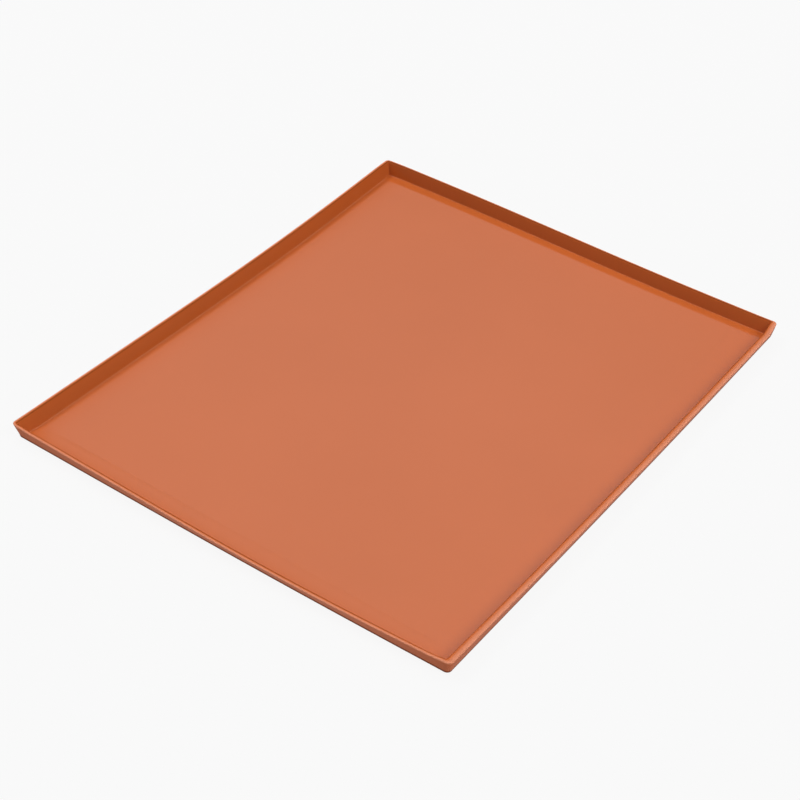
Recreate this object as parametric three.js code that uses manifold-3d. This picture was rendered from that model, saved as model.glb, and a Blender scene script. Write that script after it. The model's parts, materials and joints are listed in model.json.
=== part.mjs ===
// Silicone swiss roll mat: a thin floor inside a low rim that leans outward, moulded in one.
// Millimetres, +Z up, X along the mat. The moulding is shaped whole and then divided across
// its length into strips, so that the sheet can roll up about the lines between them.
import * as THREE from 'three';
import { mergeVertices } from 'three/addons/utils/BufferGeometryUtils.js';
import Module from 'manifold-3d';

// Size over the rim.
const RIM_LENGTH = 330;
const RIM_WIDTH = 270;
const RIM_HEIGHT = 9;

// Section of the sheet and the rim.
const FLOOR_THICKNESS = 1.5;
const RIM_LAND = 1.8; // top of the rim, across its rounded edges
const OUTER_LEAN = 2; // how far the rim overhangs the base
const INNER_LEAN = 1.8; // how far the inner face runs in on its way down

// Corners, rounds and fillets.
const RIM_CORNER_RADIUS = 4.2; // outside, at the top of the rim
const LEAST_CORNER_RADIUS = 0.3; // inside, at the foot of the rim
const RIM_OUTER_ROUND = 0.4;
const RIM_INNER_ROUND = 0.6;
const BASE_ROUND = 0.4;
const FOOT_FILLET = 0.8;

// How the sheet bends.
const STRIPS_PER_HALF = 12;
const BEND_PER_LINE = 14; // degrees, at the tightest roll
const SLIT = 0.3;

// Fineness of the mesh.
const CORNER_STEPS = 6;
const ROUND_STEPS = 3;
const CUT_MARGIN = 1;

// Look of the moulding.
const SILICONE = { color: 0xce7a56, roughness: 0.38, metalness: 0 };

const outerRound = Math.min(RIM_OUTER_ROUND, RIM_LAND / 2.5);
const innerRound = Math.min(RIM_INNER_ROUND, RIM_LAND / 2.5);
const outerInset = (z) => OUTER_LEAN * Math.max(1 - z / (RIM_HEIGHT - outerRound), 0);
const innerInset = (z) => {
  const drop = (RIM_HEIGHT - z) / (RIM_HEIGHT - FLOOR_THICKNESS);
  return RIM_LAND + INNER_LEAN * drop;
};

// The section as [inset from the rim's outline, height], from the base edge over the rim.
function section() {
  const turns = Array.from({ length: ROUND_STEPS + 1 }, (_, i) => (i / ROUND_STEPS) * Math.PI / 2);
  const baseEdge = turns.map((a) => {
    const z = BASE_ROUND * (1 - Math.cos(a));
    return [outerInset(z) + BASE_ROUND * (1 - Math.sin(a)), z];
  });
  const rimOutside = turns.map((a) => {
    const z = RIM_HEIGHT - outerRound * (1 - Math.sin(a));
    return [outerInset(z) + outerRound * (1 - Math.cos(a)), z];
  });
  const rimInside = turns.map((a) => {
    const z = RIM_HEIGHT - innerRound * (1 - Math.cos(a));
    return [innerInset(z) - innerRound * (1 - Math.sin(a)), z];
  });
  const foot = turns.map((a) => {
    const z = FLOOR_THICKNESS + FOOT_FILLET * (1 - Math.sin(a));
    return [innerInset(z) + FOOT_FILLET * (1 - Math.cos(a)), z];
  });
  return [...baseEdge, ...rimOutside, ...rimInside, ...foot];
}

// One level outline of the mat: a rectangle with round corners, counted from +X towards +Y.
function outline([inset, z]) {
  const radius = Math.max(RIM_CORNER_RADIUS - inset, LEAST_CORNER_RADIUS);
  const cornerX = RIM_LENGTH / 2 - inset - radius;
  const cornerY = RIM_WIDTH / 2 - inset - radius;
  const signs = [[1, 1], [-1, 1], [-1, -1], [1, -1]];
  return signs.flatMap(([sx, sy], quarter) =>
    Array.from({ length: CORNER_STEPS + 1 }, (_, i) => {
      const a = (quarter + i / CORNER_STEPS) * Math.PI / 2;
      return [sx * cornerX + radius * Math.cos(a), sy * cornerY + radius * Math.sin(a), z];
    }));
}

// The whole moulding as one closed surface.
function mouldingGeometry() {
  const rings = section().map(outline);
  const around = rings[0].length;
  const index = [];
  for (let ring = 0; ring + 1 < rings.length; ring += 1) {
    for (let i = 0; i < around; i += 1) {
      const next = (i + 1) % around;
      const [a, b] = [ring * around + i, ring * around + next];
      index.push(a, b, b + around, a, b + around, a + around);
    }
  }
  const flat = rings[0].map(([x, y]) => new THREE.Vector2(x, y));
  const top = (rings.length - 1) * around;
  THREE.ShapeUtils.triangulateShape(flat, []).forEach(([a, b, c]) => {
    index.push(c, b, a, top + a, top + b, top + c);
  });
  const geometry = new THREE.BufferGeometry();
  geometry.setAttribute('position', new THREE.Float32BufferAttribute(rings.flat(2), 3));
  geometry.setIndex(index);
  return geometry;
}

const wasm = await Module();
wasm.setup();

function toSolid(geometry) {
  const bare = new THREE.BufferGeometry();
  bare.setAttribute('position', geometry.getAttribute('position'));
  bare.setIndex(geometry.getIndex());
  const merged = mergeVertices(bare, 1e-4);
  return new wasm.Manifold(new wasm.Mesh({
    numProp: 3,
    vertProperties: new Float32Array(merged.getAttribute('position').array),
    triVerts: new Uint32Array(merged.getIndex().array),
  }));
}

function toGeometry(solid) {
  const { vertProperties, triVerts } = solid.getMesh();
  const geometry = new THREE.BufferGeometry();
  geometry.setAttribute('position', new THREE.BufferAttribute(vertProperties, 3));
  geometry.setIndex(new THREE.BufferAttribute(triVerts, 1));
  geometry.computeVertexNormals();
  return geometry;
}

// The room one strip takes: upright up to the bend lines on the floor's upper face, and
// narrowing above them, so that the rim clears itself when the mat is rolled up.
function stripRoom(from, to) {
  const low = -CUT_MARGIN;
  const high = RIM_HEIGHT + CUT_MARGIN;
  const halfBend = THREE.MathUtils.degToRad(BEND_PER_LINE / 2);
  const taper = (high - FLOOR_THICKNESS) * Math.tan(halfBend);
  const shape = new THREE.Shape([
    new THREE.Vector2(from, low),
    new THREE.Vector2(to, low),
    new THREE.Vector2(to, FLOOR_THICKNESS),
    new THREE.Vector2(to - taper, high),
    new THREE.Vector2(from + taper, high),
    new THREE.Vector2(from, FLOOR_THICKNESS),
  ]);
  const depth = RIM_WIDTH + 2 * CUT_MARGIN;
  const room = new THREE.ExtrudeGeometry(shape, { depth, bevelEnabled: false });
  room.rotateX(Math.PI / 2);
  room.translate(0, depth / 2, 0);
  return room;
}

function stripName(place) {
  if (place === 0) return 'centre_strip';
  const side = place < 0 ? 'left' : 'right';
  const step = Math.abs(place);
  return step === STRIPS_PER_HALF ? `${side}_end_strip` : `${side}_strip_${String(step).padStart(2, '0')}`;
}

const mat = new THREE.Group();
mat.name = 'swiss_roll_mat';
const moulding = toSolid(mouldingGeometry());
const pitch = RIM_LENGTH / (2 * STRIPS_PER_HALF + 1);
const pastTheRim = 2 * RIM_HEIGHT;
for (let place = -STRIPS_PER_HALF; place <= STRIPS_PER_HALF; place += 1) {
  const from = (place - 0.5) * pitch + SLIT / 2 - (place === -STRIPS_PER_HALF ? pastTheRim : 0);
  const to = (place + 0.5) * pitch - SLIT / 2 + (place === STRIPS_PER_HALF ? pastTheRim : 0);
  const strip = moulding.intersect(toSolid(stripRoom(from, to)));
  const mesh = new THREE.Mesh(toGeometry(strip), new THREE.MeshStandardMaterial(SILICONE));
  mesh.name = stripName(place);
  mat.add(mesh);
}

export default mat;
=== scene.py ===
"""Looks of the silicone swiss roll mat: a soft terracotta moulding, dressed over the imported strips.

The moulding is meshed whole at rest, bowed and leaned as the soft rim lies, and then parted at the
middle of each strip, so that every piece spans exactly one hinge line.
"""
import json
import math
from collections import namedtuple

import bpy
import numpy as np
from mathutils import Matrix, Vector
from mathutils.geometry import delaunay_2d_cdt

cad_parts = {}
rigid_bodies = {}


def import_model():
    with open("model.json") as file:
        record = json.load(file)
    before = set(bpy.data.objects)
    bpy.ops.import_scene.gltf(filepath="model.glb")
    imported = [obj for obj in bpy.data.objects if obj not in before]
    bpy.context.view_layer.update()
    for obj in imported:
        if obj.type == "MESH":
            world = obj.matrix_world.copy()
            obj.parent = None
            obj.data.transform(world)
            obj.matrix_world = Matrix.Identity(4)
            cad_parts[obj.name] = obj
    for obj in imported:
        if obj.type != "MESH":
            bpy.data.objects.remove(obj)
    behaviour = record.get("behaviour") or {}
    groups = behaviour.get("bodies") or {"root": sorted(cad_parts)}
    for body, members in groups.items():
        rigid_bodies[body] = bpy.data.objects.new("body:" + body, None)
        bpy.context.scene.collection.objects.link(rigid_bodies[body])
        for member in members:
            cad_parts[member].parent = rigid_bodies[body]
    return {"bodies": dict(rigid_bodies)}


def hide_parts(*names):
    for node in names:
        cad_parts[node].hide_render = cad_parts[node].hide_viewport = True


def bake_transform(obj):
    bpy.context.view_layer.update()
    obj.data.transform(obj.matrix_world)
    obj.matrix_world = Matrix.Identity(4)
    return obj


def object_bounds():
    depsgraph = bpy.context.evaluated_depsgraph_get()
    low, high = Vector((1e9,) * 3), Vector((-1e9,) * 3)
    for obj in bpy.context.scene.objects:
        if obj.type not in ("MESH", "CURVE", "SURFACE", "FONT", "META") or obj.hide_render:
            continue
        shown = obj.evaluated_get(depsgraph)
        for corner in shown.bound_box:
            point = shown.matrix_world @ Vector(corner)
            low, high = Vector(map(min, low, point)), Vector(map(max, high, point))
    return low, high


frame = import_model()
cad_low, cad_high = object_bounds()

MM = 0.001

# Camera, from the photograph's perspective: pixels, metres and degrees; the sensor in millimetres.
IMAGE_SIZE = 800
FOCAL_PX = 1880.6
CAMERA_PLACE = Vector((-0.6690, -0.4234, 0.6299))
CAMERA_AZIMUTH = 57.205
CAMERA_DOWN = 39.03
CAMERA_ROLL = 3.90
SENSOR = 36.0
NEAREST_SEEN = 0.05

# The mat's section, as the solids have it.
HALF_LENGTH = (cad_high.x - cad_low.x) / 2
HALF_WIDTH = (cad_high.y - cad_low.y) / 2
RIM_HEIGHT = cad_high.z
FLOOR = 1.5 * MM
LAND = 1.8 * MM
OUTER_LEAN = 2.0 * MM
INNER_LEAN = 1.8 * MM
LEAST_CORNER = 0.3 * MM
OUTER_ROUND = 0.4 * MM
INNER_ROUND = 0.6 * MM
BASE_ROUND = 0.4 * MM

# Tighter here than in the solids: the rim's corners, and the fillet at its foot.
RIM_CORNER = 2.4 * MM
FOOT_FILLET = 0.4 * MM

# Height of the painted shadow along the base edge, and the width over which that painted shadow
# fades.
BASE_SHADOW_HEIGHT = 1.5 * MM
BASE_SHADOW_FADE = 0.4 * MM

# Fineness of the mesh.
ROUND_STEPS = 6
FACE_STEPS = 6
STEPS_PER_STRIP = 8
END_STEPS = 10
ACROSS_STEPS = 54
CORNER_STEPS = 8
FLOOR_RINGS = [inset * MM for inset in (5.0, 5.8, 6.8, 8.0, 9.5, 11.5, 14.0)]
UNDER_RING = FLOOR_RINGS[3]

# How far in from the edge the rim's lean and the bow of the ends and of the sides are felt.
LEAN_BAND = 14 * MM
END_BOW_BAND = 19 * MM
SIDE_BOW_BAND = 75 * MM

# Width of the ramp at the rim's foot, how late up the rim its lean sets in, the part of a wall's
# length that a stiff corner takes, and how far the top of the rim follows its inner face.
RAMP_WIDTH = 14 * MM
CURL = 1.2
STIFF_SHARE = 0.045
LAND_SHARE = 0.5


def smooth(t):
    t = np.clip(t, 0.0, 1.0)
    return t * t * (3 - 2 * t)


# The section of the rim.
def rounds():
    return [i / ROUND_STEPS * math.pi / 2 for i in range(ROUND_STEPS + 1)]


def between(low, high):
    return [low + (high - low) * i / FACE_STEPS for i in range(1, FACE_STEPS)]


def outer_inset(z):
    return OUTER_LEAN * max(1 - z / (RIM_HEIGHT - OUTER_ROUND), 0)


def inner_inset(z):
    return LAND + INNER_LEAN * (RIM_HEIGHT - z) / (RIM_HEIGHT - FLOOR)


def section():
    """Runs of (inset from the rim's outline, height): from below, over the rim, to the floor."""
    beside_base = OUTER_LEAN + BASE_ROUND + BASE_SHADOW_FADE
    under = [(inset, 0.0) for inset in (FLOOR_RINGS[-1], UNDER_RING, beside_base)]
    base = []
    for a in rounds():
        z = BASE_ROUND * (1 - math.cos(a))
        base.append((outer_inset(z) + BASE_ROUND * (1 - math.sin(a)), z))
    # The top of the painted shadow band along the base edge.
    base.append((outer_inset(BASE_SHADOW_HEIGHT), BASE_SHADOW_HEIGHT))
    above = BASE_SHADOW_HEIGHT + BASE_SHADOW_FADE
    outside = [(outer_inset(z), z) for z in [above, *between(above, RIM_HEIGHT - OUTER_ROUND)]]
    lip = []
    for a in rounds():
        z = RIM_HEIGHT - OUTER_ROUND * (1 - math.sin(a))
        lip.append((outer_inset(z) + OUTER_ROUND * (1 - math.cos(a)), z))
    land = [(LAND / 2, RIM_HEIGHT)]
    crest = []
    for a in rounds():
        z = RIM_HEIGHT - INNER_ROUND * (1 - math.cos(a))
        crest.append((inner_inset(z) - INNER_ROUND * (1 - math.sin(a)), z))
    inside = [(inner_inset(z), z) for z in between(RIM_HEIGHT - INNER_ROUND, FLOOR + FOOT_FILLET)]
    foot = []
    for a in rounds():
        z = FLOOR + FOOT_FILLET * (1 - math.sin(a))
        foot.append((inner_inset(z) + FOOT_FILLET * (1 - math.cos(a)), z))
    floor = [(inset, FLOOR) for inset in FLOOR_RINGS]
    return {"under": under, "base": base, "outside": outside, "lip": lip, "land": land,
            "crest": crest, "inside": inside, "foot": foot, "floor": floor}


runs = section()
profile = [point for run in runs.values() for point in run]
run_names = [name for name, run in runs.items() for _ in run]
foot_inset = runs["foot"][-1][0]

# The mat is parted at the middle of each strip but the end ones.
half_strips = sum(1 for name in frame["bodies"] if name.startswith("right_"))
pitch = 2 * HALF_LENGTH / (2 * half_strips + 1)
cuts = [k * pitch for k in range(-half_strips + 1, half_strips)]
steps_along = (len(cuts) - 1) * STEPS_PER_STRIP
along = [cuts[0] + pitch * i / STEPS_PER_STRIP for i in range(steps_along)] + cuts[-1:]


def stations(straight_end):
    """Places along X between the corners, the same on every ring from the first cut to the last."""
    tail = [cuts[-1] + (straight_end - cuts[-1]) * i / END_STEPS for i in range(1, END_STEPS + 1)]
    return [-x for x in reversed(tail)] + along + tail


def rows(straight_end):
    return [straight_end * (2 * j / ACROSS_STEPS - 1) for j in range(ACROSS_STEPS + 1)]


# The runs of the section whose outlines have the full corner radius.
OUTER_FACE = ("under", "base", "outside")


def ring(inset, z, run, square):
    """One level outline, counted from +X towards +Y: round outside, and nearly sharp within."""
    radius = RIM_CORNER if run in OUTER_FACE else max(RIM_CORNER - inset, LEAST_CORNER)
    if square:
        radius = 0.0
    cx, cy = HALF_LENGTH - inset - radius, HALF_WIDTH - inset - radius
    xs, ys = stations(cx), rows(cy)

    def corner(sx, sy, quarter):
        turns = [(quarter + i / CORNER_STEPS) * math.pi / 2 for i in range(1, CORNER_STEPS)]
        return [(sx * cx + radius * math.cos(a), sy * cy + radius * math.sin(a), z) for a in turns]

    side_x, side_y = cx + radius, cy + radius
    return (corner(1, 1, 0) + [(x, side_y, z) for x in reversed(xs)]
            + corner(-1, 1, 1) + [(-side_x, y, z) for y in reversed(ys)]
            + corner(-1, -1, 2) + [(x, -side_y, z) for x in xs]
            + corner(1, -1, 3) + [(side_x, y, z) for y in ys])


# The moulding's skin, as numbered points and faces.
places = {}


def vertex(point):
    """The number of the mesh point at a place; the same place always gives the same number."""
    return places.setdefault(tuple(round(c, 7) for c in point), len(places))


def grid_faces(inset, z, up):
    """The flat middle of the floor, over or under."""
    xs, ys = stations(HALF_LENGTH - inset), rows(HALF_WIDTH - inset)
    for x0, x1 in zip(xs, xs[1:]):
        for y0, y1 in zip(ys, ys[1:]):
            face = [vertex(p) for p in ((x0, y0, z), (x1, y0, z), (x1, y1, z), (x0, y1, z))]
            yield face if up else face[::-1]


# Finish of each run of the section; the runs that aren't listed are matte.
SATIN, SOFT, MATTE = 0, 1, 2
FINISH = {"under": SOFT, "inside": SATIN, "foot": SATIN, "floor": SATIN}

rings = [[vertex(p) for p in ring(inset, z, run_names[k], k in (0, len(profile) - 1))]
         for k, (inset, z) in enumerate(profile)]
faces, finishes = [], []
for lower, upper, run in zip(rings, rings[1:], run_names[1:]):
    for i in range(len(lower)):
        corners = (lower[i - 1], lower[i], upper[i], upper[i - 1])
        face = [c for n, c in enumerate(corners) if c != corners[n - 1]]
        if len(face) > 2:
            faces.append(face)
            finishes.append(FINISH.get(run, MATTE))
for point, up in ((profile[0], False), (profile[-1], True)):
    faces += grid_faces(*point, up)
    finishes += [SATIN if up else SOFT] * (len(faces) - len(finishes))

rim_outline = [Vector((inset / MM, z / MM)) for inset, z in profile]
rim_triangles = delaunay_2d_cdt(rim_outline, [], [range(len(profile))], 1, 1e-6)[2]


def cap(x):
    """The mat's section where two pieces meet, as faces that look towards +X."""
    made = []
    for sign in (-1, 1):
        edge = [vertex((x, sign * (HALF_WIDTH - inset), z)) for inset, z in profile]
        made += [[edge[i] for i in t[::-sign]] for t in rim_triangles]
    ys = rows(HALF_WIDTH - profile[0][0])
    for y0, y1 in zip(ys, ys[1:]):
        corners = ((x, y0, 0.0), (x, y1, 0.0), (x, y1, FLOOR), (x, y0, FLOOR))
        made.append([vertex(p) for p in corners])
    return made


caps = {x: cap(x) for x in cuts}
rest = np.array(list(places))
on_run = {run: np.zeros(len(rest)) for run in runs}
for numbers, run in zip(rings, run_names):
    on_run[run][numbers] = 1

# A painted shade line round the middle of the rim's inner rounding.
inner_shade_line = np.zeros(len(rest))
crest_start = run_names.index("crest")
for step in range(ROUND_STEPS + 1):
    inner_shade_line[rings[crest_start + step]] = math.sin(math.pi * step / ROUND_STEPS) ** 2

# The outer face with the ring beside its base edge, and all that moves with the inner face.
shell = on_run["base"] + on_run["outside"]
shell[rings[len(runs["under"]) - 1]] = 1
well = LAND_SHARE * on_run["land"]
for run in ("crest", "inside", "foot", "floor"):
    well = well + on_run[run]


# How the soft moulding lies.
def wave(t, level=0.0, slope=0.0, one=0.0, two=0.0):
    """A smooth course of millimetres along a wall: t runs 0 to 1 along it."""
    humps = one * np.sin(np.pi * t) + two * np.sin(2 * np.pi * t)
    return (level + slope * (t - 0.5) + humps) * MM


def near(distance, band):
    return smooth(1 - distance / band)


def tuck(t, first, last):
    """How much less a wall leans at its two stiff corners, in millimetres."""
    return (first * near(t, STIFF_SHARE) + last * near(1 - t, STIFF_SHARE)) * MM


share_x = np.clip((rest[:, 0] / HALF_LENGTH + 1) / 2, 0, 1)
share_y = np.clip((1 - rest[:, 1] / HALF_WIDTH) / 2, 0, 1)
height = np.clip((rest[:, 2] - FLOOR) / (RIM_HEIGHT - FLOOR), 0, 1)

# Lean: of the rim outward. Bow: of the whole edge outward. Ramp: rise of the floor at the wall's
# foot. Swell: how much further in the rim's inner face stands at the top. Flare: how much further
# out its outer face stands at the foot.
Wall = namedtuple("Wall", "axis sign lean bow bow_band ramp swell flare")
near_end = Wall(
    axis=0, sign=-1,
    lean=wave(share_y, 0.5, -0.35, 1.76, -0.29) - tuck(share_y, 0.9, 0.5),
    bow=wave(share_y, -0.40, 0, 1.07, -0.14), bow_band=END_BOW_BAND,
    ramp=0.9 * MM, swell=0, flare=0)
far_end = Wall(
    axis=0, sign=1,
    lean=wave(share_y, 1.25, 0.7),
    bow=wave(share_y, -1.0, 0.5, -0.3, 0.7), bow_band=END_BOW_BAND,
    ramp=0, swell=-0.5 * MM, flare=2.2 * MM)
near_side = Wall(
    axis=1, sign=-1,
    lean=wave(share_x, 0.35, 1.34, 0.49, 0.2) - tuck(share_x, 0, 1.8),
    bow=wave(share_x, 0.10, 0, 0.65, -0.08), bow_band=SIDE_BOW_BAND,
    ramp=0.4 * MM, swell=1.8 * MM, flare=0)
far_side = Wall(
    axis=1, sign=1,
    lean=wave(share_x, 1.8, -1.2),
    bow=wave(share_x, -1.35, 0.8, -3.25, 0.5), bow_band=SIDE_BOW_BAND,
    ramp=-0.5 * MM, swell=0, flare=2.0 * MM)

moved = rest.copy()
for wall in (near_end, far_end, near_side, far_side):
    half = (HALF_LENGTH, HALF_WIDTH)[wall.axis]
    distance = np.clip(half - wall.sign * rest[:, wall.axis], 0, None)
    raised = height * near(distance, LEAN_BAND)
    leaning = wall.lean * raised ** CURL
    shift = leaning + wall.bow * near(distance, wall.bow_band) - well * wall.swell * raised
    shift += shell * wall.flare * (1 - rest[:, 2] / RIM_HEIGHT) * near(distance, LEAN_BAND)
    moved[:, wall.axis] += wall.sign * shift
    moved[:, 2] -= leaning * (OUTER_LEAN + wall.lean / 2) / RIM_HEIGHT
    from_foot = np.clip((distance - foot_inset) / RAMP_WIDTH, 0, 1)
    moved[:, 2] += well * wall.ramp * (1 - height) * (1 - from_foot) ** 2


# Silicone, satin in the tray, softer underneath and matte outside. Light and shade are painted into
# its colour: a painted highlight along the rim's outer edge and over its land, a painted shade line
# along its inner rounding, painted shade over the outside and a painted shadow along the base edge.
# Each tone is a colour and how much of it each mesh point takes.
# Share of the painted highlight that the rim's land takes.
LAND_HIGHLIGHT = 0.6
# Strength of the painted shade line along the rim's inner rounding.
INNER_SHADE_SHARE = 0.8
TONES = {
    # pale: a painted highlight on the rim's outer rounding and, in part, on its land.
    "pale": ((0.78, 0.29, 0.165, 1), on_run["lip"] + LAND_HIGHLIGHT * on_run["land"]),
    # Painted shade that darkens the outer face of the rim.
    "painted_outside_shade": ((0.46, 0.12, 0.048, 1), on_run["outside"]),
    # dark: a painted shadow along the base edge and a painted shade line along the rim's inner
    # rounding.
    "dark": ((0.20, 0.042, 0.009, 1), on_run["base"] + INNER_SHADE_SHARE * inner_shade_line),
}
TINT = ((0.577, 0.126, 0.025, 1), (0.602, 0.133, 0.028, 1))
TINT_STOPS = (0.3, 0.7)
SILICONE_IOR = 1.42
CLOUDS = {"Scale": 9.0, "Detail": 4.0}
HAZE = {"Scale": 30.0, "Detail": 3.0}
GRAIN = {"Scale": 1400.0, "Detail": 2.0}
GRAIN_BUMP = {"Strength": 0.10, "Distance": 0.05 * MM}


def add_node(tree, kind, values):
    made = tree.nodes.new(kind)
    for socket, value in values.items():
        made.inputs[socket].default_value = value
    return made


def silicone(name, roughness, specular_level):
    material = bpy.data.materials.new(name)
    material.use_nodes = True
    tree = material.node_tree
    link = tree.links.new
    shader = tree.nodes["Principled BSDF"]
    shader.inputs["IOR"].default_value = SILICONE_IOR
    shader.inputs["Specular IOR Level"].default_value = specular_level
    place = tree.nodes.new("ShaderNodeTexCoord").outputs["Object"]

    clouds = add_node(tree, "ShaderNodeTexNoise", CLOUDS)
    link(place, clouds.inputs["Vector"])
    tint = tree.nodes.new("ShaderNodeValToRGB")
    for stop, position, tint_colour in zip(tint.color_ramp.elements, TINT_STOPS, TINT):
        stop.position = position
        stop.color = tint_colour
    link(clouds.outputs["Fac"], tint.inputs["Fac"])

    colour = tint.outputs["Color"]
    # Mix the painted highlight and painted shade tones over the tint, each by its share.
    for tone, (tone_colour, _) in TONES.items():
        share = tree.nodes.new("ShaderNodeAttribute")
        share.attribute_name = tone
        edged = tree.nodes.new("ShaderNodeMix")
        edged.data_type = "RGBA"
        link(share.outputs["Fac"], edged.inputs["Factor"])
        link(colour, edged.inputs["A"])
        edged.inputs["B"].default_value = tone_colour
        colour = edged.outputs["Result"]
    link(colour, shader.inputs["Base Color"])

    haze = add_node(tree, "ShaderNodeTexNoise", HAZE)
    link(place, haze.inputs["Vector"])
    gloss_range = {"To Min": roughness[0], "To Max": roughness[1]}
    gloss = add_node(tree, "ShaderNodeMapRange", gloss_range)
    link(haze.outputs["Fac"], gloss.inputs["Value"])
    link(gloss.outputs["Result"], shader.inputs["Roughness"])

    grain = add_node(tree, "ShaderNodeTexNoise", GRAIN)
    link(place, grain.inputs["Vector"])
    bump = add_node(tree, "ShaderNodeBump", GRAIN_BUMP)
    link(grain.outputs["Fac"], bump.inputs["Height"])
    link(bump.outputs["Normal"], shader.inputs["Normal"])
    return material


# In the order of the finish numbers.
rubber = [
    silicone("silicone_satin", roughness=(0.07, 0.10), specular_level=0.5),
    silicone("silicone_soft", roughness=(0.34, 0.42), specular_level=0.4),
    silicone("silicone_matte", roughness=(0.50, 0.58), specular_level=0.05),
]


# The pieces, each over one hinge line.
def strip_name(place):
    if place == 0:
        return "centre_strip"
    side = "left" if place < 0 else "right"
    return f"{side}_end_strip" if abs(place) == half_strips else f"{side}_strip_{abs(place):02d}"


def piece_mesh(name, skin, skin_finishes, ends):
    used = sorted({i for f in skin + ends for i in f})
    new = {old: k for k, old in enumerate(used)}
    mesh = bpy.data.meshes.new(name)
    mesh.from_pydata(moved[used].tolist(), [], [[new[i] for i in f] for f in skin + ends])
    for material in rubber:
        mesh.materials.append(material)
    mesh.polygons.foreach_set("material_index", skin_finishes + [SATIN] * len(ends))
    mesh.polygons.foreach_set("use_smooth", [True] * len(skin) + [False] * len(ends))
    end_edges = {key for face in mesh.polygons if not face.use_smooth for key in face.edge_keys}
    for edge in mesh.edges:
        edge.use_edge_sharp = edge.key in end_edges
    # Each painted highlight and painted shade share is stored as a point attribute.
    for tone, (_, share) in TONES.items():
        mesh.attributes.new(tone, "FLOAT", "POINT").data.foreach_set("value", share[used])
    return mesh


face_x = np.array([rest[f, 0].mean() for f in faces])
piece_of_face = np.searchsorted(np.array(cuts), face_x)
for index in range(2 * half_strips):
    outer = index - half_strips if index < half_strips else index - half_strips + 1
    inner = outer + 1 if outer < 0 else outer - 1
    body, parent = strip_name(outer), strip_name(inner)
    name = f"mat_{body.replace('_strip', '')}"
    chosen = np.flatnonzero(piece_of_face == index)
    ends = []
    if index > 0:
        ends += [f[::-1] for f in caps[cuts[index - 1]]]
    if index < len(cuts):
        ends += caps[cuts[index]]
    mesh = piece_mesh(name, [faces[i] for i in chosen], [finishes[i] for i in chosen], ends)
    piece = bpy.data.objects.new(name, mesh)
    bpy.context.scene.collection.objects.link(piece)
    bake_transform(piece)
    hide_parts(body, *(["centre_strip"] if abs(outer) == 1 else []))


# Stage: a wide pale floor just under the mat, which mostly glows by itself and takes little shadow.
STAGE_REACH = 20.0
STAGE_DROP = 0.2 * MM
PALE_FLOOR = {
    "Base Color": (0.03, 0.03, 0.03, 1),
    "Emission Color": (1, 1, 1, 1),
    "Emission Strength": 0.915,
    "Roughness": 0.9,
    "Specular IOR Level": 0.1,
}


def stage_floor():
    square = [(-1, -1), (1, -1), (1, 1), (-1, 1)]
    mesh = bpy.data.meshes.new("stage_floor")
    mesh.from_pydata([(x * STAGE_REACH, y * STAGE_REACH, 0) for x, y in square], [], [(0, 1, 2, 3)])
    plane = bpy.data.objects.new("stage_floor", mesh)
    bpy.context.scene.collection.objects.link(plane)
    plane.location.z = -STAGE_DROP
    pale = bpy.data.materials.new("pale_floor")
    pale.use_nodes = True
    shader = pale.node_tree.nodes["Principled BSDF"]
    for socket, value in PALE_FLOOR.items():
        shader.inputs[socket].default_value = value
    mesh.materials.append(pale)


# Light: a dim room with soft round glows, overhead, towards -Y, between +X and +Y, and towards +Y.
ROOM = 0.13
Glow = namedtuple("Glow", "direction inner outer radiance")
GLOWS = [
    Glow((0.0, 0.10, 1.0), inner=18, outer=46, radiance=0.40),
    Glow((0.10, -0.69, 0.72), inner=7, outer=17, radiance=8.0),
    Glow((0.487, 0.329, 0.809), inner=8, outer=30, radiance=1.54),
    Glow((-0.08, 0.65, 0.74), inner=4, outer=11, radiance=15.8),
]


def studio():
    """The glows fade out between their inner and outer half-angles, in degrees."""
    world = bpy.data.worlds.new("studio")
    bpy.context.scene.world = world
    world.use_nodes = True
    tree = world.node_tree
    link = tree.links.new
    way_out = tree.nodes.new("ShaderNodeTexCoord").outputs["Generated"]
    total = None
    for glow in GLOWS:
        facing = tree.nodes.new("ShaderNodeVectorMath")
        facing.operation = "DOT_PRODUCT"
        facing.inputs[1].default_value = Vector(glow.direction).normalized()
        link(way_out, facing.inputs[0])
        spot = add_node(tree, "ShaderNodeMapRange", {
            "From Min": math.cos(math.radians(glow.outer)),
            "From Max": math.cos(math.radians(glow.inner)),
            "To Min": 0.0 if total else ROOM,
            "To Max": glow.radiance if total else ROOM + glow.radiance,
        })
        spot.interpolation_type = "SMOOTHSTEP"
        link(facing.outputs["Value"], spot.inputs["Value"])
        if total:
            both = tree.nodes.new("ShaderNodeMath")
            link(total, both.inputs[0])
            link(spot.outputs["Result"], both.inputs[1])
            total = both.outputs["Value"]
        else:
            total = spot.outputs["Result"]
    background = tree.nodes["Background"]
    background.inputs["Color"].default_value = (1, 1, 1, 1)
    link(total, background.inputs["Strength"])


stage_floor()
studio()

# Camera.
azimuth, down, roll = (math.radians(a) for a in (CAMERA_AZIMUTH, CAMERA_DOWN, CAMERA_ROLL))
across = math.cos(down)
ahead = Vector((math.sin(azimuth) * across, math.cos(azimuth) * across, -math.sin(down)))
level = Vector((math.cos(azimuth), -math.sin(azimuth), 0))
over = level.cross(ahead)
right = level * math.cos(roll) + over * math.sin(roll)
upward = over * math.cos(roll) - level * math.sin(roll)
camera_data = bpy.data.cameras.new("camera")
camera_data.sensor_width = SENSOR
camera_data.lens = FOCAL_PX / IMAGE_SIZE * SENSOR
camera_data.clip_start = NEAREST_SEEN
camera = bpy.data.objects.new("camera", camera_data)
bpy.context.scene.collection.objects.link(camera)
turn = Matrix((right, upward, -ahead)).transposed()
camera.matrix_world = Matrix.Translation(CAMERA_PLACE) @ turn.to_4x4()
bpy.context.scene.camera = camera
bpy.context.scene.view_settings.view_transform = "Standard"
